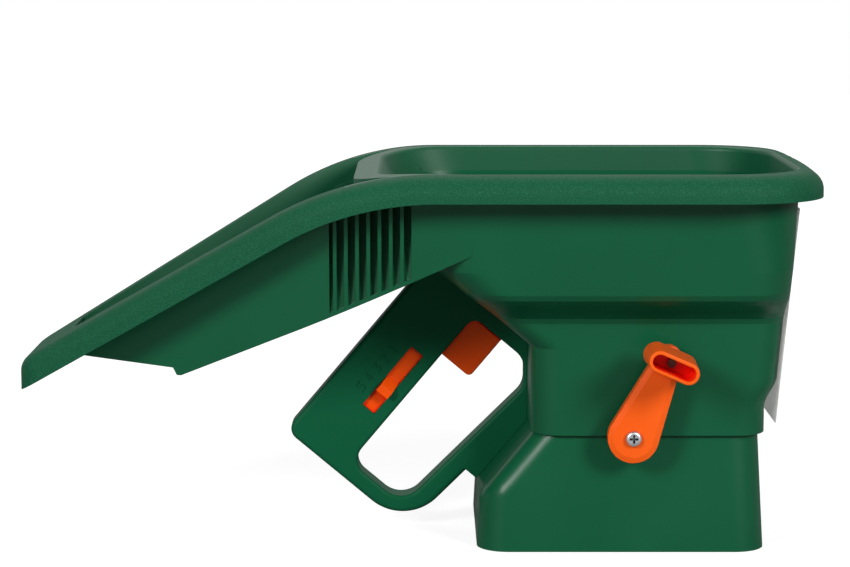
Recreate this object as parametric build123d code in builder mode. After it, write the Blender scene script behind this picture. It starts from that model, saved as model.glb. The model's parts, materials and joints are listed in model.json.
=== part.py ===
"""Hand-held rotary garden spreader: hopper with scoop, D handle, crank and impeller.

All lengths are millimetres. +X is the front, +Z is up and the crank is on the -Y side.
The origin is on the impeller axis, on the floor that the base stands on.
"""

import os
from math import atan, atan2, cos, degrees, radians, sin, sqrt, tan

from build123d import *

# Walls and clearances
wall = 2.4
seat_gap = 0.1
slide_gap = 0.3
turn_gap = 0.05
hole_gap = 0.1
cut_past = 1.0

# Rim, in plan and from the side
rim_half_width = 110.0
rim_front = 101.6
rim_front_bow = 5.6
rim_front_corner = 50.0
rim_height = 205.0
rim_skirt = 13.8
rim_plate = 3.0
rim_edge_round = 10.0
rim_hollow = 11.0
tub_mouth_round = 2.5
rim_bend_start = -105.0
rim_bend_radius = 165.0

# Scoop
scoop_slope = 30.8
scoop_taper = 22.2
shoulder_x = -153.8
shoulder_round = 200.0
nose_end = -330.3
nose_corner = 16.0
scoop_heel_x = -241.5
scoop_heel_height = 92.0
scoop_toe_x = -246.0
scoop_toe_height = 96.0
scoop_toe_rise = 0.065
divider_x = -148.0
divider_depth = 9.0
scoop_run_past = 20.0

# Tub, skirt and funnel
skirt_bottom = 62.7
skirt_half_width = 64.5
skirt_front = 72.5
skirt_rear = -53.5
skirt_corner = 17.0
front_step_low = 76.0
front_step_high = 92.0
front_wall_foot = 79.0
front_wall_lean = 0.094
ledge_low = 123.0
ledge_high = 141.0
ledge_half_width = 86.7
side_wall_lean = 0.087
tub_corner = 26.0
tub_mouth_corner = 46.0
tub_top_rear = -139.0
rear_slope_offset = 49.3
slope_top = 153.0
funnel_floor_x = -16.0
funnel_floor_lean = 0.469
throat_half_width = 16.0
throat_height = 80.0
funnel_side_lean = 1.119

# Ribs in the valley beside the divider
rib_count = 8
rib_pitch = 5.85
rib_width = 2.0
rib_first_x = -157.0
valley_depth = 11.0
valley_foot_rise = 2.5
valley_foot_depth = 1.2
join_gap = 3

# Grip directions: u runs up the grip, w runs out of its back
grip_angle = 50.0
handle_half_width = 9.0
handle_wall = 2.0
handle_edge_round = 2.5
opening_edge_round = 2.0
grip_front = 139.8
grip_back = 178.6
grip_foot = -78.4
opening_foot = -69.0
opening_top = 37.3
opening_foot_w = 102.2
opening_top_w = 92.3
strut_depth = 11.0
strut_notch_u = -31.0
handle_corner = 7.0
handle_sole_round = 27.0
web_thickness = 1.8
opening_foot_round = 10.0
opening_top_round = 6.0
opening_front_round = 12.0
opening_strut_round = 12.0
opening_sole_round = 14.0
boss_radius = 3.6
handle_screw_places = ((-70.0, 167.0), (-25.0, 168.0), (41.5, 122.0), (-44.0, 94.0))
screw_pair_y = 4.5
strut_screw_u = -5.0
screw_block_foot = 38.0
screw_block_half = 4.0
screw_block_margin = 1.5

# Base
base_rear = -82.0
base_front = 72.6
base_half_width = 67.0
base_corner = 17.0
base_side_lean = 0.086
base_end_lean = 0.05
base_top = 68.0
base_chamfer_w = 80.2
base_edge_round = 13.0
deck_height = 38.0
window_half_width = 47.0
window_low = 11.0
window_high = 36.0
window_corner = 5.0
bottom_plate_low = 2.4
foot_pad_radius = 14.0
post_radius = 4.2
post_rear_x = -39.0
post_front_x = 40.0
post_y = 50.0
foot_rear_x = -66.0
foot_front_x = 56.0
foot_y = 53.0
drop_rear_x = -44.0
drop_front_x = -9.0
drop_half_width = 13.0
hub_hole_radius = 8.5
saddle_y = -30.0
saddle_thickness = 4.0
saddle_half_width = 10.0

# Crank
crank_height = 64.2
crank_throw = 46.0
crank_angle = 66.5
arm_face = -79.0
arm_depth = 8.0
arm_big_radius = 13.5
arm_small_radius = 7.0
arm_bevel_width = 3.0
arm_bevel = 1.0
crank_hub_radius = 8.0
crank_web = 3.0
crank_shaft_radius = 4.0
crank_shaft_end = -6.8
bush_radius = 6.5
bush_flange_radius = 9.0
bush_flange = 1.8
bush_end = -24.0
knob_length = 27.5
knob_width = 11.5
knob_flare = 2.0
knob_depth = 25.0
knob_wall = 1.8
knob_edge_round = 0.8
knob_floor = 7.0
knob_boss = 2.6
knob_boss_radius = 6.0
knob_pin_floor = 1.0
knob_pin_radius = 1.8
knob_pin_head_radius = 2.4
knob_pin_head = 2.0
screw_head_radius = 4.2
screw_head = 2.8
screw_radius = 2.0
screw_length = 12.0

# Gears
crown_teeth = 20
pinion_teeth = 8
crown_radius = 13.0
crown_tooth_length = 4.0
tooth_width = 1.4
tooth_reach = 0.7
tooth_root = 1.4
tooth_clearance = 0.5
crown_plate = 3.4
crown_hub_radius = 7.0
pinion_face = 3.4
pinion_hub = 3.0

# Rotor
rotor_radius = 3.0
rotor_foot = 6.0
rotor_boss_radius = 7.0
rotor_boss_top = 14.0
washer_thickness = 1.0
impeller_radius = 50.0
impeller_plate_low = 22.0
impeller_plate = 2.4
impeller_hub_radius = 8.0
impeller_hub_top = 33.0
vane_count = 6
vane_height = 8.0
vane_thickness = 2.0
vane_root = 1.0
rotor_bush_radius = 5.0
rotor_bush_flange = 1.5
funnel_boss_radius = 7.5
funnel_boss_low = 82.0
funnel_boss_top = 93.0
agitator_low = 98.0
agitator_height = 3.0
agitator_reach = 18.0
agitator_width = 4.0

# Shutter, link and trigger
trigger_travel = 14.0
port_low = 66.0
port_high = 80.0
port_half_width = 9.0
shutter_low = 64.5
shutter_high = 90.0
shutter_half_width = 13.0
strip_thickness = 2.5
link_half_width = 5.0
guide_thickness = 2.5
guide_high = 96.0
trigger_half_width = 5.0
trigger_foot = 9.6
trigger_tip = 119.4
trigger_tip_round = 3.0
trigger_edge_round = 1.0
trigger_seat = 148.0
trigger_post = 4.6
post_half_width = 4.0
link_pin_radius = 1.5
link_pin_length = 8.0
spring_wire = 0.5
spring_radius = 3.2
spring_turns = 7
spring_u = 24.0

# Rate slider
slot_low = -39.7
slot_high = 2.6
slot_w = 151.3
slot_width = 8.5
setting_pitch = 6.9
setting_count = 5
setting_at_rest = 4
ridge_u = -25.5
ridge_width = 5.0
ridge_height = 4.5
ridge_lean = 1.0
ridge_ramp = 5.0
slider_thickness = 1.4
slider_margin = 1.5
digit_w = 162.5
digit_height = 5.0
digit_width = 3.0
digit_stroke = 0.6
digit_depth = 0.4
digit_strokes = (
    ((0.2, 0.8), (0.5, 1.0), (0.5, 0.0)),
    ((0.0, 0.8), (0.3, 1.0), (0.7, 1.0), (1.0, 0.75), (0.0, 0.0), (1.0, 0.0)),
    ((0.0, 1.0), (1.0, 1.0), (0.45, 0.6), (1.0, 0.35), (0.7, 0.0), (0.0, 0.1)),
    ((0.7, 0.0), (0.7, 1.0), (0.0, 0.3), (1.0, 0.3)),
    ((1.0, 1.0), (0.1, 1.0), (0.0, 0.55), (0.7, 0.6), (1.0, 0.3), (0.7, 0.0), (0.0, 0.05)),
)

# Small screws
small_radius = 1.5
small_head_radius = 2.9
small_head = 1.8
small_length = 12.0
foot_screw_length = 10.0
post_screw_length = 11.0
head_round_share = 0.6
recess_length_share = 1.1
recess_width_share = 0.26
recess_depth_share = 0.55

# Label on the front wall
label_half_width = 60.0
label_top = 184.0
label_low = 69.0
label_low_x = 77.0
label_thickness = 0.4

os.makedirs("parts", exist_ok=True)

slope = radians(scoop_slope)
taper = radians(scoop_taper)
lean = radians(grip_angle)
grip_plane = Plane(origin=(0, 0, 0), x_dir=(cos(lean), 0, sin(lean)), z_dir=(0, -1, 0))
slide_direction = Vector(-sin(lean), 0, cos(lean))
up_grip = (cos(lean), 0, sin(lean))
into_base = (sin(lean), 0, -cos(lean))
far_out = 260.0


def save(piece, name):
    """Label a finished piece and write it to its own file."""
    piece.part.label = name
    export_step(piece.part, f"parts/{name}.step")


def grip_point(u, w):
    """Side-view point (X, Z) of a place on the grip."""
    return (u * cos(lean) - w * sin(lean), u * sin(lean) + w * cos(lean))


def grip_facing(u, w, y, direction, across=(0, 1, 0)):
    """Plane at a place on the grip, facing a direction."""
    x, z = grip_point(u, w)
    return Plane(origin=(x, y, z), x_dir=across, z_dir=direction)


def blend(position, low, high):
    """Smooth step from 0 at low to 1 at high."""
    share = min(max((position - low) / (high - low), 0.0), 1.0)
    return share * share * (3.0 - 2.0 * share)


def grip_block(u_range, w_range, y_range):
    """Block that lies along the grip's own directions."""
    with BuildPart() as block:
        with BuildSketch(grip_plane.offset(-y_range[1])):
            with Locations(((u_range[0] + u_range[1]) / 2, (w_range[0] + w_range[1]) / 2)):
                Rectangle(u_range[1] - u_range[0], w_range[1] - w_range[0])
        extrude(amount=y_range[1] - y_range[0])
    return block.part


def side_prism(points, half_width):
    """Side-view polygon carried across the part's width."""
    with BuildPart() as prism:
        with BuildSketch(Plane.XZ):
            with BuildLine():
                Polyline(*points, close=True)
            make_face()
        extrude(amount=half_width, both=True)
    return prism.part


def rod(plane, radius, length):
    """Round bar from a plane's origin along its normal."""
    with BuildPart() as bar:
        with BuildSketch(plane):
            Circle(radius)
        extrude(amount=length)
    return bar.part


def pan_screw(plane, length, radius, head_radius, head):
    """Pan-head screw with a cross recess: the plane is under its head, facing out."""
    with BuildPart() as screw:
        with BuildSketch(plane):
            Circle(radius)
        extrude(amount=-length)
        with BuildSketch(plane):
            Circle(head_radius)
        extrude(amount=head)
        flats = screw.faces().filter_by(GeomType.PLANE)
        top = flats.sort_by_distance(plane.origin + plane.z_dir * far_out)[0]
        fillet(top.edges(), head * head_round_share)
        with BuildSketch(plane.offset(head)):
            Rectangle(head_radius * recess_length_share, head_radius * recess_width_share)
            Rectangle(head_radius * recess_width_share, head_radius * recess_length_share)
        extrude(amount=-head * recess_depth_share, mode=Mode.SUBTRACT)
    return screw.part


# Rim forms


def rim_outline(inset):
    """Plan outline of the rim, drawn inward by inset."""
    side = rim_half_width - inset
    corner_x = rim_front - rim_front_bow - inset
    bend_x = shoulder_x + inset * tan(taper / 2)
    nose_x = nose_end + inset
    nose_side = side - (bend_x - nose_x) * tan(taper)
    with BuildSketch() as plan:
        with BuildLine():
            ThreePointArc((corner_x, -side), (rim_front - inset, 0), (corner_x, side))
            Polyline((corner_x, side), (bend_x, side), (nose_x, nose_side))
            Line((nose_x, nose_side), (nose_x, -nose_side))
            Polyline((nose_x, -nose_side), (bend_x, -side), (corner_x, -side))
        make_face()
        for corner, radius in (
            (nose_x, max(nose_corner - inset, nose_corner / 2)),
            (bend_x, shoulder_round - inset),
            (corner_x, max(rim_front_corner - inset, rim_front_corner / 2)),
        ):
            fillet(plan.vertices().filter_by_position(Axis.X, corner - 0.5, corner + 0.5), radius)
    return plan.sketch


def crest_band(high_drop, low_drop):
    """Layer across the part between two depths below the crest line."""
    starts = []
    tips = []
    with BuildPart() as band:
        with BuildSketch(Plane.XZ):
            with BuildLine():
                for drop in (high_drop, low_drop):
                    radius = rim_bend_radius - drop
                    level = rim_height - drop
                    centre = rim_height - rim_bend_radius
                    start = (far_out, level)
                    bend = (rim_bend_start, level)
                    middle = (rim_bend_start - radius * sin(slope / 2), centre + radius * cos(slope / 2))
                    end = (rim_bend_start - radius * sin(slope), centre + radius * cos(slope))
                    tip = (end[0] - far_out * cos(slope), end[1] - far_out * sin(slope))
                    Line(start, bend)
                    ThreePointArc(bend, middle, end)
                    Line(end, tip)
                    starts.append(start)
                    tips.append(tip)
                Line(*starts)
                Line(*tips)
            make_face()
        extrude(amount=far_out, both=True)
    return band.part


def rim_shell(inset, high_drop, low_drop, edge_round):
    """Rim layer with its outer top edge rounded."""
    with BuildPart() as shell:
        with BuildSketch():
            add(rim_outline(inset))
        extrude(amount=far_out)
        add(crest_band(high_drop, low_drop), mode=Mode.INTERSECT)
        upper = shell.faces().filter_by(lambda face: face.normal_at().Z > 0.5)
        bends = [rim_bend_start, rim_bend_start - (rim_bend_radius - high_drop) * sin(slope)]
        outer = [
            edge
            for edge in upper.edges()
            if min(abs(edge.center().X - bend) for bend in bends) > 0.01 or abs(edge.center().Y) > 1.0
        ]
        fillet(outer, edge_round)
    return shell.part


# Scoop forms


def slope_x(height, offset):
    """X of a plane along the rear slope at a height."""
    return (offset - height * sin(lean)) / cos(lean)


slope_top_x = slope_x(slope_top, rear_slope_offset)
tub_top_half_width = ledge_half_width + (rim_height - ledge_high) * side_wall_lean
scoop_inset = rim_half_width - tub_top_half_width
scoop_floor_rise = (slope_top - scoop_heel_height) / (slope_top_x - scoop_heel_x)


def scoop_form(inset, lift):
    """Scoop body, drawn in by inset with its floor lifted, up past the crest."""
    past_x = slope_top_x + scoop_run_past
    nose_x = nose_end - tub_corner
    rear_lift = lift * sqrt(1 + scoop_floor_rise**2)
    past_height = slope_top + (past_x - slope_top_x) * scoop_floor_rise + rear_lift
    toe_height = scoop_toe_height + lift
    nose_height = toe_height + (scoop_toe_x - nose_x) * scoop_toe_rise
    heel_height = scoop_heel_height + rear_lift
    if lift > 0:
        drop = toe_height - (scoop_heel_x - scoop_toe_x) * scoop_toe_rise - heel_height
        step = drop / (scoop_floor_rise + scoop_toe_rise)
        floor = [(scoop_heel_x + step, heel_height + step * scoop_floor_rise)]
    else:
        floor = [
            (scoop_heel_x, scoop_heel_height),
            (scoop_heel_x - wall, scoop_heel_height),
            (scoop_toe_x, scoop_toe_height),
        ]
    outline = [(past_x, far_out), (past_x, past_height), *floor, (nose_x, nose_height), (nose_x, far_out)]
    with BuildPart() as form:
        with BuildSketch(Plane.XY.offset(rim_height)):
            add(rim_outline(inset))
        extrude(amount=-rim_height + skirt_bottom, taper=degrees(atan(side_wall_lean)))
        with BuildSketch(Plane.XY.offset(rim_height)):
            add(rim_outline(inset))
        extrude(amount=cut_past)
        add(side_prism(outline, rim_half_width), mode=Mode.INTERSECT)
    return form.part


def scoop_mouth():
    """Opening of the scoop through the rim, that ends at a bar round the rear of the tub."""
    rear, _, half_width, corner = tub_section(rim_height, 0)
    bar = rear - divider_x
    with BuildPart() as mouth:
        with BuildSketch():
            add(rim_outline(scoop_inset + wall))
            with Locations((divider_x + far_out, 0)):
                RectangleRounded(2 * far_out, 2 * (half_width + bar), corner + bar, mode=Mode.SUBTRACT)
        extrude(amount=far_out)
        add(scoop_form(scoop_inset + wall, wall), mode=Mode.INTERSECT)
    return mouth.part


# Tub forms

divider_run = (tub_top_rear - slope_top_x) / (rim_height - slope_top)


def divider_wall_x(height, inset):
    """X of the wall between tub and scoop at a height, drawn in by inset."""
    return slope_top_x + (height - slope_top) * divider_run + inset * sqrt(1 + divider_run**2)


def slope_bend(inset):
    """Height where that wall meets the rear slope, drawn in by inset."""
    rest = (rear_slope_offset + inset) / cos(lean) - divider_wall_x(0, inset)
    return rest / (divider_run + tan(lean))


def tub_section(height, inset):
    """Rear, front, half width and corner radius of the tub at a height."""
    level = height - inset / 2
    ledge = blend(level, ledge_low, ledge_high)
    wide = ledge_half_width + (height - ledge_high) * side_wall_lean
    half_width = skirt_half_width + (wide - skirt_half_width) * ledge - inset
    step = blend(level, front_step_low, front_step_high)
    leaning = front_wall_foot + (height - front_step_high) * front_wall_lean
    front = skirt_front + (leaning - skirt_front) * step - inset
    rear = min(skirt_rear + inset, slope_x(height, rear_slope_offset + inset))
    if height > slope_bend(inset):
        rear = divider_wall_x(height, inset)
    mouth = max(height - slope_top, 0) / (rim_height - slope_top)
    corner = skirt_corner + (tub_corner - skirt_corner) * ledge - inset
    corner += (tub_mouth_corner - tub_corner) * mouth
    return rear, front, half_width, corner


def tub_form(inset, low, high):
    """Tub and skirt as one solid, drawn in by inset."""
    offset = rear_slope_offset + inset
    skirt_bend = (offset - (skirt_rear + inset) * cos(lean)) / sin(lean)
    steps = 6
    heights = [low, skirt_bend, slope_bend(inset), high]
    for step in range(steps + 1):
        heights.append(front_step_low + inset / 2 + (front_step_high - front_step_low) * step / steps)
        heights.append(ledge_low + inset / 2 + (ledge_high - ledge_low) * step / steps)
    with BuildPart() as form:
        for height in sorted(heights):
            rear, front, half_width, corner = tub_section(height, inset)
            with BuildSketch(Plane.XY.offset(height)):
                with Locations(((rear + front) / 2, 0)):
                    RectangleRounded(front - rear, 2 * half_width, corner)
        loft(ruled=True)
    return form.part


def funnel_form(inset):
    """Space above the funnel's sloped floors, drawn in by inset from their undersides."""
    offset = rear_slope_offset + inset
    floor_height = (rear_slope_offset + wall - funnel_floor_x * cos(lean)) / sin(lean)
    sink = (wall - inset) * sqrt(1 + funnel_floor_lean**2)
    zero_height = floor_height - funnel_floor_x * funnel_floor_lean - sink
    low_x = (offset / sin(lean) - zero_height) / (funnel_floor_lean + cos(lean) / sin(lean))
    low_height = zero_height + low_x * funnel_floor_lean
    spread = (wall - inset) * sqrt(1 + funnel_side_lean**2)
    throat = throat_half_width + spread
    side = throat + (far_out - throat_height) * funnel_side_lean
    profile = [
        (low_x, low_height),
        (far_out, zero_height + far_out * funnel_floor_lean),
        (far_out, 2 * far_out),
        (slope_x(2 * far_out, offset), 2 * far_out),
    ]
    front_view = [(throat, 0), (throat, throat_height), (side, far_out), (-side, far_out)]
    front_view += [(-throat, throat_height), (-throat, 0)]
    with BuildPart() as form:
        with BuildSketch(Plane.YZ):
            with BuildLine():
                Polyline(*front_view, close=True)
            make_face()
        extrude(amount=far_out, both=True)
        add(side_prism(profile, far_out), mode=Mode.INTERSECT)
    return form.part


def below_crest(shape, drop):
    """The part of a shape that lies deeper than a drop below the crest line."""
    with BuildPart() as lower:
        add(shape)
        add(crest_band(drop, rim_bend_radius - cut_past), mode=Mode.INTERSECT)
    return lower.part


# Valleys at the ends of the divider

rib_last_x = rib_first_x + rib_pitch * (rib_count - 1)
scoop_outside = scoop_form(scoop_inset, 0)


def side_y(x, height):
    """Half width of the outside of the scoop's side walls at a place."""
    radius = shoulder_round - scoop_inset
    turn = max(shoulder_x + shoulder_round * tan(taper / 2) - x, 0)
    upright = ledge_half_width + (height - ledge_high) * side_wall_lean
    return upright - radius + sqrt(radius**2 - turn**2)


def valleys(deeper):
    """Recesses in both side walls, deep under the rim and running out above the scoop's floor."""
    rear_x = rib_first_x - rib_pitch / 2 - deeper
    front_x = rib_last_x + rib_width / 2 + deeper
    with BuildPart() as wedges:
        for end_x in (rear_x, front_x):
            floor_height = slope_top + (end_x - slope_top_x) * scoop_floor_rise
            foot = floor_height + valley_foot_rise - deeper
            with BuildSketch(Plane.YZ.offset(end_x)):
                with BuildLine():
                    Polyline(
                        (side_y(end_x, foot) - valley_foot_depth - deeper, foot),
                        (side_y(end_x, rim_height) - valley_depth - deeper, rim_height),
                        (tub_top_half_width + valley_depth, rim_height),
                        (tub_top_half_width + valley_depth, foot),
                        close=True,
                    )
                make_face()
        loft(ruled=True)
        mirror(about=Plane.XZ)
        add(below_crest(scoop_outside, rim_skirt - deeper), mode=Mode.INTERSECT)
    return wedges.part


def ribs():
    """Upright ribs that fill the valleys out to the side walls."""
    low = scoop_heel_height
    high = rim_height
    with BuildPart() as row:
        with Locations(Location(((rib_first_x + rib_last_x) / 2, 0, (low + high) / 2))):
            with GridLocations(rib_pitch, 2 * tub_top_half_width - 2 * valley_depth, rib_count, 2):
                Box(rib_width, 4 * valley_depth, high - low)
        add(valleys(wall / 2), mode=Mode.INTERSECT)
    return row.part


# Hopper and scoop: rim, tub and scoop as one moulding, parted on the divider


def rim_hollow_space():
    """Channel under the rim, open below."""
    with BuildPart() as channel:
        add(rim_shell(wall, rim_plate, 2 * rim_skirt, rim_edge_round - wall))
        with BuildSketch():
            add(rim_outline(wall + rim_hollow))
        extrude(amount=far_out, mode=Mode.SUBTRACT)
    return channel.part


def is_tub_mouth(edge):
    """Whether an edge runs round the top of the tub's opening."""
    place = edge.center()
    run = max(rim_bend_start - place.X, 0)
    crest = rim_height - rim_bend_radius + sqrt(max(rim_bend_radius**2 - run**2, 0))
    along = tub_top_rear < place.X < rim_front - rim_hollow
    across = abs(place.Y) < rim_half_width - rim_skirt
    return along and across and abs(place.Z - crest) < seat_gap


def mechanism_room():
    """Space under the funnel, inside the skirt."""
    with BuildPart() as room:
        add(tub_form(wall, skirt_bottom - cut_past, rim_height + cut_past))
        add(funnel_form(0), mode=Mode.SUBTRACT)
    return room.part


def bowl():
    """Space that the grain fills."""
    with BuildPart() as space:
        add(tub_form(wall, skirt_bottom - cut_past, rim_height + cut_past))
        add(funnel_form(wall), mode=Mode.INTERSECT)
    return space.part


deck_top = deck_height + wall
post_foot = deck_top + seat_gap
post_places = [(x, y) for x in (post_rear_x, post_front_x) for y in (-post_y, post_y)]
link_top = rear_slope_offset - slide_gap
link_bottom = link_top - strip_thickness
link_room = (link_bottom - slide_gap, rear_slope_offset)
link_room_y = (-link_half_width - slide_gap, link_half_width + slide_gap)
crank_plane = Plane(origin=(0, 0, crank_height), x_dir=(1, 0, 0), z_dir=(0, -1, 0))
stop_w = grip_front + wall + slide_gap
post_range = (stop_w, stop_w + trigger_post)
slope_screw_w = post_range[1] + trigger_travel + screw_block_margin + screw_block_half
slope_screw_planes = [
    grip_facing(rear_slope_offset + wall, slope_screw_w, side, up_grip)
    for side in (-screw_pair_y, screw_pair_y)
]

with BuildPart() as moulding:
    add(rim_shell(0, 0, rim_skirt, rim_edge_round))
    add(rim_hollow_space(), mode=Mode.SUBTRACT)
    add(below_crest(scoop_form(scoop_inset, 0), rim_plate))
    add(scoop_mouth(), mode=Mode.SUBTRACT)
    add(below_crest(scoop_form(scoop_inset + wall, wall), divider_depth), mode=Mode.SUBTRACT)
    add(below_crest(tub_form(0, skirt_bottom, rim_height), rim_plate))
    add(mechanism_room(), mode=Mode.SUBTRACT)
    with BuildSketch(Plane.XY.offset(post_foot)):
        with Locations(*post_places):
            Circle(post_radius)
    extrude(amount=ledge_low - post_foot)
    with BuildSketch(Plane.XY.offset(funnel_boss_low)):
        Circle(funnel_boss_radius)
    extrude(amount=wall * 3)
    add(bowl(), mode=Mode.SUBTRACT)
    with BuildSketch(Plane.XY.offset(funnel_boss_low)):
        Circle(funnel_boss_radius)
    extrude(amount=funnel_boss_top - funnel_boss_low)
    mouth = moulding.edges().filter_by(is_tub_mouth)
    fillet(mouth, tub_mouth_round)
    # Valleys and ribs at the ends of the divider
    add(valleys(wall))
    add(valleys(0), mode=Mode.SUBTRACT)
    add(ribs())
    # Holes for the crank bush, rotor bush, outlet, link and screws
    add(rod(crank_plane, bush_radius + seat_gap, rim_half_width), mode=Mode.SUBTRACT)
    add(rod(Plane.XY, rotor_bush_radius + seat_gap, funnel_boss_top + cut_past), mode=Mode.SUBTRACT)
    add(
        grip_block(
            (rear_slope_offset - cut_past, rear_slope_offset + wall + cut_past),
            (port_low, port_high),
            (-port_half_width, port_half_width),
        ),
        mode=Mode.SUBTRACT,
    )
    add(grip_block(link_room, (shutter_high, grip_front), link_room_y), mode=Mode.SUBTRACT)
    for place in post_places:
        pilot = Plane(origin=(*place, post_foot))
        add(rod(pilot, small_radius + hole_gap, small_length), mode=Mode.SUBTRACT)
    for plane in slope_screw_planes:
        add(rod(plane.offset(cut_past), small_radius + hole_gap, -wall - 2 * cut_past), mode=Mode.SUBTRACT)

join_plane = Plane.YZ.offset(rib_first_x + rib_pitch * (join_gap - 0.5))

with BuildPart() as behind:
    add(moulding.part)
    split(bisect_by=join_plane, keep=Keep.BOTTOM)
scoop_solid, *bar_solids = behind.solids().sort_by(SortBy.VOLUME, reverse=True)

with BuildPart() as scoop:
    add(scoop_solid)
save(scoop, "scoop")

# The tub keeps the whole bar at its rear end
with BuildPart() as hopper:
    add(moulding.part)
    split(bisect_by=join_plane, keep=Keep.TOP)
    add(bar_solids)
save(hopper, "hopper")

# Base


def base_form(inset, low, high):
    """Drafted box of the base, drawn in by inset, with its rear top sloped off."""
    with BuildPart() as form:
        for height in (low, high):
            rear = base_rear + height * base_end_lean + inset
            front = base_front - height * base_end_lean - inset
            half_width = base_half_width - height * base_side_lean - inset
            with BuildSketch(Plane.XY.offset(height)):
                with Locations(((rear + front) / 2, 0)):
                    RectangleRounded(front - rear, 2 * half_width, base_corner - inset)
        loft(ruled=True)
        add(
            grip_block((-far_out, far_out), (base_chamfer_w - inset, far_out), (-far_out, far_out)),
            mode=Mode.SUBTRACT,
        )
        sloped = form.faces().filter_by(lambda face: face.normal_at().dot(slide_direction) > 0.99)
        rims = sloped.edges().sort_by(Axis.Z)[:-1]
        fillet(rims, base_edge_round - inset)
    return form.part


plate_top = bottom_plate_low + wall
foot_places = [(x, y) for x in (foot_rear_x, foot_front_x) for y in (-foot_y, foot_y)]
strut_screw_planes = [
    grip_facing(strut_screw_u, base_chamfer_w - wall, side, into_base)
    for side in (-screw_pair_y, screw_pair_y)
]


def skirt_space():
    """Space round the base's upper edge that the hopper's skirt takes."""
    with BuildPart() as space:
        with Locations((0, 0, skirt_bottom - seat_gap + far_out / 2)):
            Box(2 * far_out, 2 * far_out, far_out)
        add(tub_form(wall + slide_gap, 0, rim_height), mode=Mode.SUBTRACT)
    return space.part


def deck():
    """Level floor across the base, with the feed opening and the rotor's hole."""
    with BuildPart() as floor:
        add(base_form(wall / 2, 0, base_top))
        with Locations((0, 0, deck_height + wall / 2)):
            Box(2 * far_out, 2 * far_out, wall, mode=Mode.INTERSECT)
        with BuildSketch(Plane.XY.offset(deck_height)):
            with Locations(((drop_rear_x + drop_front_x) / 2, 0)):
                Rectangle(drop_front_x - drop_rear_x, 2 * drop_half_width)
            Circle(hub_hole_radius)
            with Locations(*post_places):
                Circle(small_radius + hole_gap)
        extrude(amount=wall, mode=Mode.SUBTRACT)
    return floor.part


with BuildPart() as base_housing:
    add(base_form(0, 0, base_top))
    add(base_form(wall, -cut_past, base_top + cut_past), mode=Mode.SUBTRACT)
    add(skirt_space(), mode=Mode.SUBTRACT)
    with BuildSketch(Plane.XY.offset(plate_top + seat_gap)):
        with Locations(*foot_places):
            Circle(post_radius)
    extrude(amount=deck_top - plate_top - seat_gap)
    add(deck())
    with Locations((0, saddle_y, (deck_top + crank_height) / 2)):
        Box(2 * saddle_half_width, saddle_thickness, crank_height - deck_top)
    add(rod(crank_plane, bush_radius + seat_gap, rim_half_width), mode=Mode.SUBTRACT)
    for place in foot_places:
        pilot = Plane(origin=(*place, plate_top))
        add(rod(pilot, small_radius + hole_gap, small_length), mode=Mode.SUBTRACT)
    for plane in strut_screw_planes:
        add(rod(plane.offset(cut_past), small_radius + hole_gap, -wall - 2 * cut_past), mode=Mode.SUBTRACT)
    with BuildSketch(Plane.YZ.offset(base_front / 2)):
        with Locations((0, (window_low + window_high) / 2)):
            RectangleRounded(2 * window_half_width, window_high - window_low, window_corner)
    extrude(amount=base_front, mode=Mode.SUBTRACT)
save(base_housing, "base_housing")

with BuildPart() as bottom_plate:
    with BuildSketch(Plane.XY.offset(bottom_plate_low)):
        fit = wall + slide_gap
        rear = base_rear + plate_top * base_end_lean + fit
        front = base_front - plate_top * base_end_lean - fit
        half_width = base_half_width - plate_top * base_side_lean - fit
        with Locations(((rear + front) / 2, 0)):
            RectangleRounded(front - rear, 2 * half_width, base_corner - fit)
        with Locations(*foot_places):
            Circle(small_radius + hole_gap, mode=Mode.SUBTRACT)
    extrude(amount=wall)
    add(rod(Plane.XY, foot_pad_radius, plate_top))
    add(rod(Plane.XY.offset(bottom_plate_low), rotor_boss_radius, rotor_boss_top - bottom_plate_low))
    add(rod(Plane.XY.offset(rotor_foot), rotor_radius + turn_gap, far_out), mode=Mode.SUBTRACT)
save(bottom_plate, "bottom_plate")


def screw_group(planes, length=small_length):
    """Identical small screws, one on each plane."""
    with BuildPart() as group:
        for plane in planes:
            add(pan_screw(plane, length, small_radius, small_head_radius, small_head))
    return group


down = (0, 0, -1)
bottom_screws = screw_group(
    [Plane(origin=(*place, bottom_plate_low), z_dir=down) for place in foot_places], foot_screw_length
)
save(bottom_screws, "bottom_screws")
base_screws = screw_group(
    [Plane(origin=(*place, deck_height), z_dir=down) for place in post_places], post_screw_length
)
save(base_screws, "base_screws")
hopper_screws = screw_group(slope_screw_planes)
save(hopper_screws, "hopper_screws")
strut_screws = screw_group(strut_screw_planes)
save(strut_screws, "strut_screws")

# Handle

strut_lean = (opening_top_w - opening_foot_w) / (opening_top - opening_foot)


def strut_w(u):
    """Inner edge of the strut at a height up the grip."""
    return opening_foot_w + (u - opening_foot) * strut_lean


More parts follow.
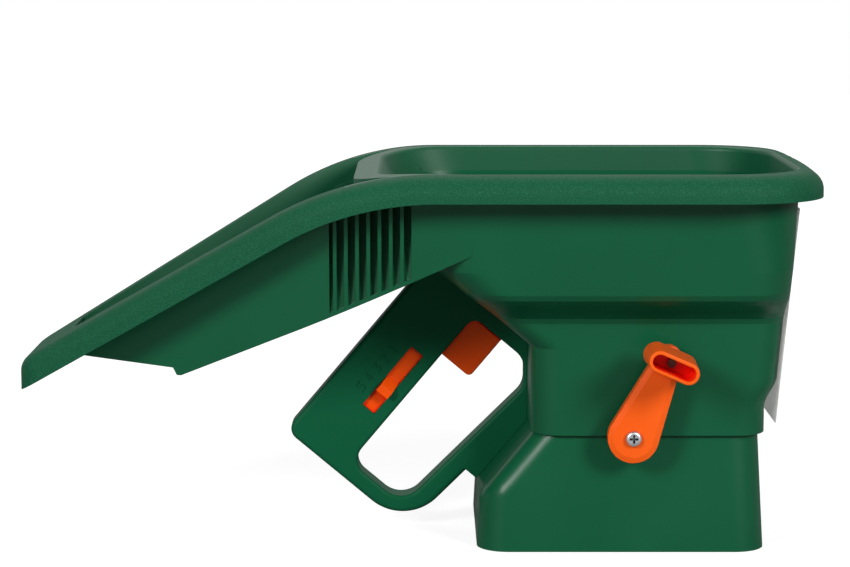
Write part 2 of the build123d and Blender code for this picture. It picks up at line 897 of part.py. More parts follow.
def handle_half():
    """Crank-side half of the handle, before its slot and digits."""
    top_u = rear_slope_offset - seat_gap
    pad_w = base_chamfer_w + seat_gap
    rear_x = skirt_rear - seat_gap
    back_drop = slope_top - seat_gap * 2
    back_rest = back_drop - slope_top_x * scoop_floor_rise
    back_rest -= grip_back * (cos(lean) + sin(lean) * scoop_floor_rise)
    back_u = back_rest / (sin(lean) - cos(lean) * scoop_floor_rise)
    shoulder = [grip_point(top_u, grip_back)]
    if back_u < top_u:
        shoulder = [grip_point(back_u, grip_back), (slope_x(back_drop, top_u), back_drop)]
    outline = [
        grip_point(grip_foot, grip_back),
        *shoulder,
        (rear_x, (top_u - rear_x * cos(lean)) / sin(lean)),
        (rear_x, (pad_w + rear_x * sin(lean)) / cos(lean)),
        grip_point(strut_notch_u, pad_w),
        grip_point(strut_notch_u, strut_w(strut_notch_u) - strut_depth),
        grip_point(grip_foot, strut_w(grip_foot) - strut_depth),
    ]
    web_x = rear_x - web_thickness
    web_w = (opening_top * cos(lean) - web_x) / sin(lean)
    meet_u = (web_x + strut_w(0) * sin(lean)) / (cos(lean) - strut_lean * sin(lean))
    opening = [
        (opening_foot, grip_front, opening_foot_round),
        (opening_top, grip_front, opening_top_round),
        (opening_top, web_w, opening_front_round),
        (meet_u, strut_w(meet_u), opening_strut_round),
        (opening_foot, opening_foot_w, opening_sole_round),
    ]
    with BuildPart() as half:
        with BuildSketch(Plane.XZ) as profile:
            with BuildLine():
                Polyline(*outline, close=True)
            make_face()
            for corner, radius in ((outline[0], handle_corner), (outline[-1], handle_sole_round)):
                fillet(profile.vertices().sort_by_distance(corner)[0], radius)
        extrude(amount=handle_half_width)
        with BuildSketch(grip_plane) as gap:
            with BuildLine():
                Polyline(*[(u, w) for u, w, radius in opening], close=True)
            make_face()
            for u, w, radius in opening:
                fillet(gap.vertices().sort_by_distance((u, w))[0], radius)
        extrude(amount=handle_half_width, mode=Mode.SUBTRACT)
        face = half.faces().sort_by(Axis.Y)[0]
        fillet(face.inner_wires()[0].edges(), opening_edge_round)
        face = half.faces().sort_by(Axis.Y)[0]
        free_edges = []
        for edge in face.outer_wire().edges():
            place = grip_plane.to_local_coords(edge.center())
            behind_strut = place.X < strut_notch_u - cut_past or place.Y > grip_front
            if behind_strut and place.X < min(back_u, top_u) - cut_past:
                free_edges.append(edge)
        fillet(free_edges, handle_edge_round)
        add(grip_room(), mode=Mode.SUBTRACT)
        add(
            grip_block((link_room[0], far_out), (0, grip_front + wall + cut_past), link_room_y),
            mode=Mode.SUBTRACT,
        )
        add(
            grip_block(
                (trigger_foot - slide_gap, opening_top),
                (grip_front - opening_top_round - cut_past, grip_front + wall + cut_past),
                (-trigger_half_width - slide_gap, trigger_half_width),
            ),
            mode=Mode.SUBTRACT,
        )
        for plane in (slope_screw_planes[0], strut_screw_planes[0]):
            add(rod(plane, small_radius + hole_gap, -small_length - cut_past), mode=Mode.SUBTRACT)
        with BuildSketch(Plane.XZ):
            with Locations(*[grip_point(*place) for place in handle_screw_places]):
                Circle(small_radius + hole_gap)
        extrude(amount=handle_half_width - handle_wall, mode=Mode.SUBTRACT)
    return half.part


def grip_room():
    """Space inside the grip, round its screw bosses and the block under the hopper screws."""
    with BuildPart() as room:
        add(
            grip_block(
                (grip_foot + wall, rear_slope_offset + wall),
                (grip_front + wall, grip_back - wall),
                (-handle_half_width + handle_wall, handle_half_width),
            )
        )
        add(
            grip_block(
                (screw_block_foot, rear_slope_offset + wall),
                (slope_screw_w - screw_block_half, slope_screw_w + screw_block_half),
                (-handle_half_width, handle_half_width),
            ),
            mode=Mode.SUBTRACT,
        )
        with BuildSketch(Plane.XZ.offset(-handle_half_width)):
            with Locations(*[grip_point(*place) for place in handle_screw_places]):
                Circle(boss_radius)
        extrude(amount=2 * handle_half_width, mode=Mode.SUBTRACT)
    return room.part


with BuildPart() as handle_near_half:
    add(handle_half())
    add(
        grip_block(
            (slot_low, slot_high),
            (slot_w - slot_width / 2, slot_w + slot_width / 2),
            (-handle_half_width - cut_past, -handle_half_width + handle_wall + cut_past),
        ),
        mode=Mode.SUBTRACT,
    )
    for setting, stroke in enumerate(digit_strokes, start=1):
        digit_u = ridge_u + (setting_at_rest - setting) * setting_pitch
        points = [
            (digit_u + digit_width * (across - 0.5), digit_w + digit_height * (along - 0.5))
            for across, along in stroke
        ]
        with BuildSketch(grip_plane.offset(handle_half_width)):
            for start, end in zip(points, points[1:]):
                run = Vector(*end) - Vector(*start)
                with Locations(((start[0] + end[0]) / 2, (start[1] + end[1]) / 2)):
                    SlotCenterToCenter(run.length, digit_stroke, rotation=degrees(atan2(run.Y, run.X)))
        extrude(amount=-digit_depth, mode=Mode.SUBTRACT)
save(handle_near_half, "handle_near_half")

with BuildPart() as handle_far_half:
    add(mirror(handle_half(), about=Plane.XZ, mode=Mode.PRIVATE))
    for u, w in handle_screw_places:
        bore = grip_facing(u, w, 0, (0, 1, 0), (1, 0, 0))
        add(rod(bore, small_radius + hole_gap, handle_half_width + cut_past), mode=Mode.SUBTRACT)
        sunk = bore.offset(handle_half_width - small_head)
        add(rod(sunk, small_head_radius + slide_gap, handle_half_width), mode=Mode.SUBTRACT)
save(handle_far_half, "handle_far_half")

handle_screws = screw_group(
    [
        grip_facing(u, w, handle_half_width - small_head, (0, 1, 0), (1, 0, 0))
        for u, w in handle_screw_places
    ]
)
save(handle_screws, "handle_screws")

# Trigger, link and shutter

trigger_top = opening_top - slide_gap

with BuildPart() as trigger:
    with BuildSketch(grip_plane.offset(-trigger_half_width)) as side_view:
        with Locations(((trigger_foot + trigger_top) / 2, (trigger_tip + stop_w + wall) / 2)):
            Rectangle(trigger_top - trigger_foot, stop_w + wall - trigger_tip)
        tip = (trigger_foot, trigger_tip)
        fillet(side_view.vertices().sort_by_distance(tip)[0], trigger_tip_round)
    extrude(amount=2 * trigger_half_width)
    edges = trigger.edges().filter_by(lambda edge: abs(abs(edge.center().Y) - trigger_half_width) < 0.01)
    fillet(edges, trigger_edge_round)
    add(
        grip_block(
            (trigger_foot - trigger_post, trigger_top),
            (stop_w, stop_w + wall),
            (-trigger_half_width, trigger_half_width),
        )
    )
    add(
        grip_block(
            (spring_u - 2 * spring_radius, spring_u + 2 * spring_radius),
            (stop_w, trigger_seat),
            (-post_half_width, post_half_width),
        )
    )
    add(
        grip_block(
            (trigger_top - trigger_post, link_bottom),
            post_range,
            (-post_half_width, post_half_width),
        )
    )
    pin_plane = grip_facing(link_bottom, sum(post_range) / 2, 0, up_grip)
    add(rod(pin_plane, link_pin_radius + turn_gap, -link_pin_length), mode=Mode.SUBTRACT)
save(trigger, "trigger")

with BuildPart() as trigger_link:
    add(
        grip_block(
            (link_bottom, link_top), (shutter_high, post_range[1]), (-link_half_width, link_half_width)
        )
    )
    add(rod(pin_plane, link_pin_radius + turn_gap, strip_thickness), mode=Mode.SUBTRACT)
save(trigger_link, "trigger_link")

with BuildPart() as link_pin:
    add(rod(pin_plane.offset(strip_thickness), link_pin_radius, -link_pin_length - strip_thickness))
save(link_pin, "link_pin")

with BuildPart() as shutter_plate:
    add(
        grip_block(
            (link_bottom, link_top), (shutter_low, shutter_high), (-shutter_half_width, shutter_half_width)
        )
    )
save(shutter_plate, "shutter_plate")

with BuildPart() as shutter_guide:
    guide_top = link_bottom - slide_gap
    guide_half_width = shutter_half_width + slide_gap + guide_thickness
    guide_range = (shutter_low - guide_thickness, guide_high)
    add(
        grip_block(
            (guide_top - guide_thickness, rear_slope_offset),
            guide_range,
            (-guide_half_width, guide_half_width),
        )
    )
    inner = shutter_half_width + slide_gap
    add(
        grip_block((guide_top, far_out), (0, far_out), (-inner, inner)),
        mode=Mode.SUBTRACT,
    )
    add(
        grip_block((0, far_out), (port_low, port_high), (-port_half_width, port_half_width)),
        mode=Mode.SUBTRACT,
    )
save(shutter_guide, "shutter_guide")

# Return spring: half turns of wire, each tangent to the next
spring_foot = trigger_seat + spring_wire + seat_gap
spring_head = grip_back - wall - spring_wire - seat_gap
spring_base = grip_plane.from_local_coords((spring_u, spring_foot, 0))
spring_plane = Plane(origin=spring_base, x_dir=(0, 1, 0), z_dir=slide_direction)
half_pitch = (spring_head - spring_foot) / (2 * spring_turns)

with BuildPart() as trigger_spring:
    with BuildLine() as wire:
        for half_turn in range(2 * spring_turns):
            side = 1 - 2 * (half_turn % 2)
            rise = half_pitch * half_turn
            ThreePointArc(
                spring_plane.from_local_coords((side * spring_radius, 0, rise)),
                spring_plane.from_local_coords((0, side * spring_radius, rise + half_pitch / 2)),
                spring_plane.from_local_coords((-side * spring_radius, 0, rise + half_pitch)),
            )
    start = spring_plane.from_local_coords((spring_radius, 0, 0))
    with BuildSketch(Plane(origin=start, z_dir=spring_plane.y_dir)):
        Circle(spring_wire)
    sweep(path=wire.wire())
save(trigger_spring, "trigger_spring")

# Rate slider

up_travel = (setting_at_rest - 1) * setting_pitch
down_travel = (setting_count - setting_at_rest) * setting_pitch
slider_face = handle_half_width - handle_wall - slide_gap / 2
slider_half = slot_width / 2 - slide_gap

with BuildPart() as rate_slider:
    strip_range = (slot_low - up_travel - slider_margin, slot_high + down_travel + slider_margin)
    add(
        grip_block(
            strip_range,
            (slot_w - slot_width / 2 - slider_margin, slot_w + slot_width / 2 + slider_margin),
            (-slider_face, -slider_face + slider_thickness),
        )
    )
    ridge_plane = Plane(
        origin=grip_plane.from_local_coords((0, slot_w - slider_half, 0)),
        x_dir=grip_plane.x_dir,
        z_dir=slide_direction,
    )
    with BuildSketch(ridge_plane) as ridge_view:
        with BuildLine():
            Polyline(
                (ridge_u - ridge_width / 2, -slider_face),
                (ridge_u - ridge_width / 2, -handle_half_width - ridge_height),
                (ridge_u + ridge_width / 2 - ridge_lean, -handle_half_width - ridge_height),
                (ridge_u + ridge_width / 2 + ridge_ramp, -slider_face),
                close=True,
            )
        make_face()
    extrude(amount=2 * slider_half)
save(rate_slider, "rate_slider")

# Crank

knob_x = crank_throw * cos(radians(crank_angle))
knob_z = crank_throw * sin(radians(crank_angle))
arm_back = -arm_face - arm_depth
wall_face = skirt_half_width
flange_face = wall_face + slide_gap + bush_flange
knob_seat = -arm_face + knob_boss + slide_gap

with BuildPart() as crank_arm:
    with BuildSketch(crank_plane.offset(arm_back)):
        Circle(arm_big_radius)
        with Locations((knob_x, knob_z)):
            Circle(arm_small_radius)
        make_hull()
    extrude(amount=arm_depth)
    front = crank_arm.faces().sort_by(Axis.Y)[0]
    chamfer(front.edges(), arm_bevel_width, arm_bevel, reference=front)
    with BuildSketch(crank_plane.offset(flange_face + slide_gap)):
        Circle(crank_hub_radius)
    extrude(amount=arm_back - flange_face - slide_gap)
    with BuildSketch(crank_plane.offset(-arm_face - arm_bevel)):
        with Locations((knob_x, knob_z)):
            Circle(knob_boss_radius)
    extrude(amount=knob_boss + arm_bevel)
    add(rod(crank_plane, crank_shaft_radius + turn_gap, -arm_face - crank_web), mode=Mode.SUBTRACT)
    add(rod(crank_plane, screw_radius + hole_gap, far_out), mode=Mode.SUBTRACT)
    pin_seat = Plane(crank_plane.offset(arm_back + knob_pin_floor) * Pos(knob_x, knob_z, 0))
    add(rod(pin_seat, knob_pin_radius + turn_gap, far_out), mode=Mode.SUBTRACT)
save(crank_arm, "crank_arm")

with BuildPart() as crank_shaft:
    shaft_foot = crank_plane.offset(-crank_shaft_end)
    add(rod(shaft_foot, crank_shaft_radius, -arm_face - crank_web + crank_shaft_end))
    screw_seat = crank_plane.offset(-arm_face)
    add(rod(screw_seat, screw_radius + hole_gap, -screw_length - cut_past), mode=Mode.SUBTRACT)
save(crank_shaft, "crank_shaft")

with BuildPart() as crank_screw:
    add(pan_screw(screw_seat, screw_length, screw_radius, screw_head_radius, screw_head))
save(crank_screw, "crank_screw")

with BuildPart() as crank_bush:
    add(rod(crank_plane.offset(-bush_end), bush_radius, flange_face + bush_end))
    add(rod(crank_plane.offset(flange_face - bush_flange), bush_flange_radius, bush_flange))
    add(rod(crank_plane, crank_shaft_radius + turn_gap, far_out), mode=Mode.SUBTRACT)
save(crank_bush, "crank_bush")

with BuildPart() as crank_knob:
    for depth, wider in ((0.0, knob_flare), (knob_depth, 0.0)):
        with BuildSketch(crank_plane.offset(knob_seat + depth)):
            with Locations(Location((knob_x, knob_z), crank_angle + 90.0)):
                SlotOverall(knob_length + wider, knob_width + wider)
    loft(ruled=True)
    fillet(crank_knob.faces().sort_by(Axis.Y)[0].edges(), knob_edge_round)
    with BuildSketch(crank_plane.offset(knob_seat + knob_floor)):
        with Locations(Location((knob_x, knob_z), crank_angle + 90.0)):
            SlotOverall(knob_length - 2 * knob_wall, knob_width - 2 * knob_wall)
    extrude(amount=knob_depth, mode=Mode.SUBTRACT)
    add(rod(pin_seat, knob_pin_radius + turn_gap, far_out), mode=Mode.SUBTRACT)
save(crank_knob, "crank_knob")

with BuildPart() as knob_pin:
    shank = knob_seat + knob_floor + slide_gap - arm_back - knob_pin_floor
    add(rod(pin_seat, knob_pin_radius, shank))
    add(rod(pin_seat.offset(shank), knob_pin_head_radius, knob_pin_head))
save(knob_pin, "knob_pin")

# Gears

pinion_radius = crown_radius * pinion_teeth / crown_teeth
crown_face = pinion_radius + tooth_root
crown_tip = pinion_radius - tooth_reach
half_step = 180.0 / crown_teeth
pinion_low = crank_height - crown_radius - pinion_face / 2

with BuildPart() as drive_gear:
    add(rod(crank_plane.offset(crown_face), crown_radius + crown_tooth_length / 2, crown_plate))
    add(rod(crank_plane.offset(crown_face), crown_hub_radius, -bush_end - slide_gap - crown_face))
    with BuildSketch(crank_plane.offset(crown_tip)):
        with PolarLocations(crown_radius, crown_teeth, start_angle=half_step - 90.0):
            Rectangle(crown_tooth_length, tooth_width)
    extrude(amount=crown_face - crown_tip)
    add(rod(crank_plane, crank_shaft_radius + turn_gap, far_out), mode=Mode.SUBTRACT)
save(drive_gear, "drive_gear")

with BuildPart() as pinion:
    pinion_root = crown_tip - tooth_clearance
    pinion_tip = pinion_radius + tooth_reach
    with BuildSketch(Plane.XY.offset(pinion_low)):
        Circle(pinion_root)
        with PolarLocations((rotor_radius + pinion_tip) / 2, pinion_teeth, start_angle=-90.0):
            Rectangle(pinion_tip - rotor_radius, tooth_width)
    extrude(amount=pinion_face)
    add(rod(Plane.XY.offset(pinion_low - pinion_hub), pinion_root + tooth_clearance, pinion_hub))
    add(rod(Plane.XY, rotor_radius + turn_gap, far_out), mode=Mode.SUBTRACT)
save(pinion, "pinion")

# Rotor

hub_low = rotor_boss_top + washer_thickness + 2 * seat_gap

with BuildPart() as thrust_washer:
    add(rod(Plane.XY.offset(rotor_boss_top), rotor_boss_radius, washer_thickness))
    add(rod(Plane.XY, rotor_radius + turn_gap + seat_gap, far_out), mode=Mode.SUBTRACT)
save(thrust_washer, "thrust_washer")

with BuildPart() as impeller:
    add(rod(Plane.XY.offset(impeller_plate_low), impeller_radius, impeller_plate))
    add(rod(Plane.XY.offset(hub_low), impeller_hub_radius, impeller_hub_top - hub_low))
    with BuildSketch(Plane.XY.offset(impeller_plate_low + impeller_plate)):
        with PolarLocations((impeller_radius + impeller_hub_radius) / 2 - vane_root, vane_count):
            Rectangle(impeller_radius - impeller_hub_radius, vane_thickness)
    extrude(amount=vane_height)
    add(rod(Plane.XY, rotor_radius + turn_gap, far_out), mode=Mode.SUBTRACT)
save(impeller, "impeller")

with BuildPart() as rotor_shaft:
    foot = rotor_foot + seat_gap
    add(rod(Plane.XY.offset(foot), rotor_radius, agitator_low + agitator_height - foot))
save(rotor_shaft, "rotor_shaft")

with BuildPart() as rotor_bush:
    bush_low = funnel_boss_low - rotor_bush_flange
    add(rod(Plane.XY.offset(bush_low), rotor_bush_radius, funnel_boss_top - bush_low))
    add(rod(Plane.XY.offset(bush_low), funnel_boss_radius, rotor_bush_flange))
    add(rod(Plane.XY, rotor_radius + turn_gap, far_out), mode=Mode.SUBTRACT)
save(rotor_bush, "rotor_bush")

with BuildPart() as agitator:
    agitator_foot = funnel_boss_top + slide_gap
    agitator_top = agitator_low + agitator_height
    add(rod(Plane.XY.offset(agitator_foot), rotor_bush_radius, agitator_top - agitator_foot))
    with Locations((0, 0, agitator_low + agitator_height / 2)):
        Box(2 * agitator_reach, agitator_width, agitator_height)
    add(rod(Plane.XY, rotor_radius + turn_gap, far_out), mode=Mode.SUBTRACT)
save(agitator, "agitator")

# Label

with BuildPart() as front_label:
    top_x = tub_section(label_top, 0)[1] + seat_gap
    bend_x = tub_section(front_step_high, 0)[1] + seat_gap
    outer = [(label_low_x, label_low), (bend_x, front_step_high), (top_x, label_top)]
    edge = outer + [(x + label_thickness, z) for x, z in reversed(outer)]
    add(side_prism(edge, label_half_width))
save(front_label, "front_label")
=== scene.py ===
"""Looks of a hand-held garden spreader: finishes, label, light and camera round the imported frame."""

import bpy
import json
from math import cos, radians, sin, tan
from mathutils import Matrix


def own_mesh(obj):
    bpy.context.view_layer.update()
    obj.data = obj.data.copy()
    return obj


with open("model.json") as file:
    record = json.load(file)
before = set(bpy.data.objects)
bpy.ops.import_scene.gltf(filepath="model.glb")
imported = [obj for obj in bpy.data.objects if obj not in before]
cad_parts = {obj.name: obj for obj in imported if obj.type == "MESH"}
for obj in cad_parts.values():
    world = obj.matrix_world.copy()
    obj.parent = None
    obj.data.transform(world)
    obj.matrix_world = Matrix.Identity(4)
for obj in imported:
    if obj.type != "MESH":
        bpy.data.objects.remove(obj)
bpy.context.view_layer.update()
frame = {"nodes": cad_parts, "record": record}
nodes = frame["nodes"]

# Colours, as linear light
green = (0.0030, 0.084, 0.0340, 1.0)
green_pale = (0.0038, 0.095, 0.0400, 1.0)
green_rim = (0.0028, 0.078, 0.0320, 1.0)
green_rim_grain_and_glint = (0.0130, 0.128, 0.0640, 1.0)
orange = (0.920, 0.122, 0.008, 1.0)
orange_deep = (0.840, 0.090, 0.003, 1.0)
# Painted shade: darker, redder copies of the orange for the trigger and slider, which sit in the
# hopper's shadow
orange_painted_shade = (0.950, 0.090, 0.003, 1.0)
orange_painted_shade_deep = (0.900, 0.072, 0.001, 1.0)
# Painted shade and bounced red light in the orange parts' hollows: a deep red where the surface is
# closed in
orange_painted_cavity_red = (0.960, 0.006, 0.000, 1.0)
zinc = (0.880, 0.910, 0.950, 1.0)
zinc_dull = (0.760, 0.790, 0.830, 1.0)
# Painted shade in the zinc parts' recesses: near black where the surface is closed in
zinc_painted_recess_shade = (0.030, 0.030, 0.033, 1.0)
steel = (0.480, 0.480, 0.490, 1.0)
steel_dull = (0.300, 0.300, 0.310, 1.0)
acetal = (0.700, 0.680, 0.600, 1.0)
acetal_shade = (0.600, 0.575, 0.490, 1.0)
black = (0.010, 0.010, 0.011, 1.0)
black_pale = (0.022, 0.022, 0.024, 1.0)
pin_grey = (0.140, 0.110, 0.090, 1.0)
pin_dark = (0.080, 0.060, 0.050, 1.0)
film = (0.800, 0.800, 0.790, 1.0)
film_shade = (0.700, 0.700, 0.690, 1.0)

# Crest line of the rim, in metres, for the grained band
rim_height = 0.205
rim_skirt = 0.0138
bend_start = -0.105
bend_radius = 0.165
bend_angle = radians(30.8)
bend_run = bend_radius * sin(bend_angle)

# Plain bar between tub and scoop, and the plane where the shell's two solids meet
bar_middle = -0.1200
bar_half = 0.0310
bar_half_length = 0.0900
seam_x = -0.142375

# Finish of the shell
shell_grain = 1300.0
rim_grain = 1900.0
shell_relief = 0.00030
wall_roughness = 0.30
bar_roughness = 0.36
inner_roughness_gain = 0.16
rim_roughness_gain = 0.30
wall_shine = 0.25
rim_shine = 0.15
inner_shine_gain = 0.10

# Light
fill = 0.13
front_sheen = 0.05
back_sheen = 0.60
floor_dark = (0.29, 0.29, 0.29, 1.0)
floor_pale = (0.31, 0.31, 0.31, 1.0)
floor_near_glow = 0.84
white = (1.0, 1.0, 1.0, 1.0)

# Camera
camera_place = (-0.110, -1.390, 0.3239)
camera_dip = 7.7
camera_lens = 107.2


def add_node(tree, kind, **values):
    """New node with its properties and input sockets set by name."""
    node = tree.nodes.new(kind)
    for name, value in values.items():
        if hasattr(node, name):
            setattr(node, name, value)
        else:
            node.inputs[name.replace("_", " ")].default_value = value
    return node


def calculate(tree, operation, first, second=None):
    """Math node on sockets or plain numbers; gives its output socket."""
    node = add_node(tree, "ShaderNodeMath", operation=operation)
    for socket, value in zip(node.inputs, (first, second)):
        if isinstance(value, (int, float)):
            socket.default_value = value
        elif value is not None:
            tree.links.new(value, socket)
    return node.outputs[0]


def blend_colours(tree, factor, first, second):
    """Mix of two colours by a socket; each colour is a socket or a plain tuple."""
    node = add_node(tree, "ShaderNodeMix", data_type="RGBA")
    tree.links.new(factor, node.inputs[0])
    for socket, value in ((node.inputs[6], first), (node.inputs[7], second)):
        if isinstance(value, tuple):
            socket.default_value = value
        else:
            tree.links.new(value, socket)
    return node.outputs[2]


def spread(tree, value, low, high, new_low=0.0, new_high=1.0):
    """Value stretched from one range to another and kept inside it."""
    node = add_node(tree, "ShaderNodeMapRange")
    tree.links.new(value, node.inputs[0])
    for socket, number in zip(node.inputs[1:5], (low, high, new_low, new_high)):
        socket.default_value = number
    return node.outputs[0]


def speckle(tree, place, scale, detail=2.0):
    """Fine noise on object coordinates."""
    node = add_node(tree, "ShaderNodeTexNoise", Scale=scale, Detail=detail)
    tree.links.new(place, node.inputs["Vector"])
    return node.outputs[0]


def start_material(name):
    """Empty material; gives it with its tree, shader and object coordinates."""
    material = bpy.data.materials.new(name)
    material.use_nodes = True
    tree = material.node_tree
    shader = tree.nodes["Principled BSDF"]
    place = add_node(tree, "ShaderNodeTexCoord").outputs["Object"]
    return material, tree, shader, place


def finish_surface(tree, shader, relief, depth, edge_radius, sharp=None):
    """Relief and softened edges into the shader's normal; edges stay as they are where sharp is one."""
    normal = add_node(tree, "ShaderNodeBevel", samples=4, Radius=edge_radius).outputs[0]
    if sharp is not None:
        choice = add_node(tree, "ShaderNodeMix", data_type="VECTOR")
        tree.links.new(sharp, choice.inputs[0])
        tree.links.new(normal, choice.inputs[4])
        tree.links.new(add_node(tree, "ShaderNodeNewGeometry").outputs["Normal"], choice.inputs[5])
        normal = choice.outputs[1]
    bump = add_node(tree, "ShaderNodeBump", Strength=1.0, Distance=depth)
    tree.links.new(relief, bump.inputs["Height"])
    tree.links.new(normal, bump.inputs["Normal"])
    tree.links.new(bump.outputs[0], shader.inputs["Normal"])


def paint_hollow_shade(tree, colour, hollow_shade, reach, low, high):
    """Painted shade: colour that turns to another one where the surface is closed in."""
    shelter = add_node(tree, "ShaderNodeAmbientOcclusion", samples=8, Distance=reach)
    return blend_colours(tree, spread(tree, shelter.outputs["AO"], low, high), hollow_shade, colour)


def within(tree, value, middle, half, soft):
    """One where a value lies within a band, running to zero past its ends."""
    away = calculate(tree, "ABSOLUTE", calculate(tree, "SUBTRACT", value, middle))
    return spread(tree, away, half, half + soft, 1.0, 0.0)


def plastic(name, dark, pale, roughness, grain, depth, shine=0.2, edge_radius=0.0004, hollow_shade=None):
    """Moulded plastic: slow colour drift, fine grain and uneven gloss; painted shade in hollows when a
    hollow colour is given.
    """
    material, tree, shader, place = start_material(name)
    drift = spread(tree, speckle(tree, place, 14.0, 3.0), 0.35, 0.65)
    fine = speckle(tree, place, grain)
    slow_share = calculate(tree, "MULTIPLY", drift, 0.6)
    fine_share = calculate(tree, "MULTIPLY", fine, 0.4)
    mixed = calculate(tree, "ADD", slow_share, fine_share)
    colour = blend_colours(tree, mixed, dark, pale)
    # Painted shade: the colour turns to the hollow colour where ambient occlusion finds the surface
    # closed in
    if hollow_shade is not None:
        colour = paint_hollow_shade(tree, colour, hollow_shade, 0.012, 0.35, 0.75)
    tree.links.new(colour, shader.inputs["Base Color"])
    gloss = spread(tree, drift, 0.0, 1.0, roughness - 0.04, roughness + 0.04)
    tree.links.new(gloss, shader.inputs["Roughness"])
    shader.inputs["Specular IOR Level"].default_value = shine
    finish_surface(tree, shader, fine, depth, edge_radius)
    return material


def rim_band(tree, place):
    """One on the rim's band under the crest line, zero below it."""
    split = add_node(tree, "ShaderNodeSeparateXYZ")
    tree.links.new(place, split.inputs[0])
    run = calculate(tree, "MAXIMUM", calculate(tree, "SUBTRACT", bend_start, split.outputs[0]), 0.0)
    curved = calculate(tree, "MINIMUM", run, bend_run)
    squared = calculate(tree, "MULTIPLY", curved, curved)
    arc = calculate(tree, "SQRT", calculate(tree, "SUBTRACT", bend_radius**2, squared))
    straight = calculate(tree, "MULTIPLY", calculate(tree, "SUBTRACT", run, curved), tan(bend_angle))
    crest = calculate(tree, "SUBTRACT", arc, straight)
    crest_height = calculate(tree, "ADD", crest, rim_height - bend_radius)
    drop = calculate(tree, "SUBTRACT", crest_height, split.outputs[2])
    tilt = spread(tree, run, 0.0, bend_run, 1.0, cos(bend_angle))
    depth = calculate(tree, "MULTIPLY", drop, tilt)
    return spread(tree, depth, rim_skirt, rim_skirt + 0.0006, 1.0, 0.0)


def flat_normal(tree):
    """Surface normal with its upright part left out."""
    normal = add_node(tree, "ShaderNodeNewGeometry").outputs["Normal"]
    level = add_node(tree, "ShaderNodeVectorMath", operation="MULTIPLY")
    level.inputs[1].default_value = (1.0, 1.0, 0.0)
    tree.links.new(normal, level.inputs[0])
    return level.outputs[0]


def hopper_plastic():
    """Green shell whose rim has a coarser, sparkling grain than its walls; the rim's pale specks are
    partly the grain's own tone and partly painted glints.
    """
    material, tree, shader, place = start_material("hopper_green")
    band = rim_band(tree, place)
    drift = spread(tree, speckle(tree, place, 9.0, 3.0), 0.35, 0.65)
    fine = speckle(tree, place, shell_grain, 1.0)
    coarse = speckle(tree, place, rim_grain, 1.0)
    # Pale specks on the rim: partly the grain's own tone, partly painted glints of the sparkling grain
    grain_and_glint_specks = spread(tree, coarse, 0.48, 0.72)
    wall = blend_colours(tree, drift, green, green_pale)
    rim = blend_colours(tree, grain_and_glint_specks, green_rim, green_rim_grain_and_glint)
    axes = add_node(tree, "ShaderNodeSeparateXYZ")
    tree.links.new(place, axes.inputs[0])
    across = within(tree, axes.outputs[0], bar_middle, bar_half, 0.001)
    along = within(tree, axes.outputs[1], 0.0, bar_half_length, 0.004)
    bar = calculate(tree, "MULTIPLY", across, along)
    inside = add_node(tree, "ShaderNodeVectorMath", operation="DOT_PRODUCT")
    tree.links.new(place, inside.inputs[0])
    tree.links.new(flat_normal(tree), inside.inputs[1])
    outer = spread(tree, inside.outputs["Value"], -0.03, -0.01)
    outer_band = calculate(tree, "MULTIPLY", band, outer)
    grained = calculate(tree, "MULTIPLY", outer_band, calculate(tree, "SUBTRACT", 1.0, bar))
    tree.links.new(blend_colours(tree, grained, wall, rim), shader.inputs["Base Color"])
    inner = calculate(tree, "MULTIPLY", band, calculate(tree, "SUBTRACT", 1.0, outer))
    smooth = spread(tree, bar, 0.0, 1.0, wall_roughness, bar_roughness)
    plain = calculate(tree, "ADD", smooth, calculate(tree, "MULTIPLY", inner, inner_roughness_gain))
    gloss = calculate(tree, "ADD", plain, calculate(tree, "MULTIPLY", grained, rim_roughness_gain))
    tree.links.new(gloss, shader.inputs["Roughness"])
    outer_shine = spread(tree, grained, 0.0, 1.0, wall_shine, rim_shine)
    shine = calculate(tree, "ADD", outer_shine, calculate(tree, "MULTIPLY", inner, inner_shine_gain))
    tree.links.new(shine, shader.inputs["Specular IOR Level"])
    wall_relief = calculate(tree, "MULTIPLY", fine, 0.10)
    rim_relief = calculate(tree, "MULTIPLY", calculate(tree, "MULTIPLY", coarse, grained), 0.9)
    relief = calculate(tree, "ADD", wall_relief, rim_relief)
    seam = within(tree, axes.outputs[0], seam_x, 0.0012, 0.0003)
    finish_surface(tree, shader, relief, shell_relief, 0.0005, seam)
    return material


def metal(name, bright, dull, roughness, streak, hollow_shade=None):
    """Plated or drawn steel with fine streaks; painted shade in hollows when a hollow colour is given.
    """
    material, tree, shader, place = start_material(name)
    shader.inputs["Metallic"].default_value = 1.0
    fine = speckle(tree, place, streak, 4.0)
    blotch = spread(tree, speckle(tree, place, streak / 6, 2.0), 0.35, 0.7)
    colour = blend_colours(tree, blotch, bright, dull)
    # Painted shade: the colour turns to the hollow colour where ambient occlusion finds the surface
    # closed in
    if hollow_shade is not None:
        colour = paint_hollow_shade(tree, colour, hollow_shade, 0.003, 0.35, 0.75)
    tree.links.new(colour, shader.inputs["Base Color"])
    gloss = spread(tree, fine, 0.2, 0.8, roughness - 0.06, roughness + 0.08)
    tree.links.new(gloss, shader.inputs["Roughness"])
    finish_surface(tree, shader, fine, 0.00002, 0.0002)
    return material


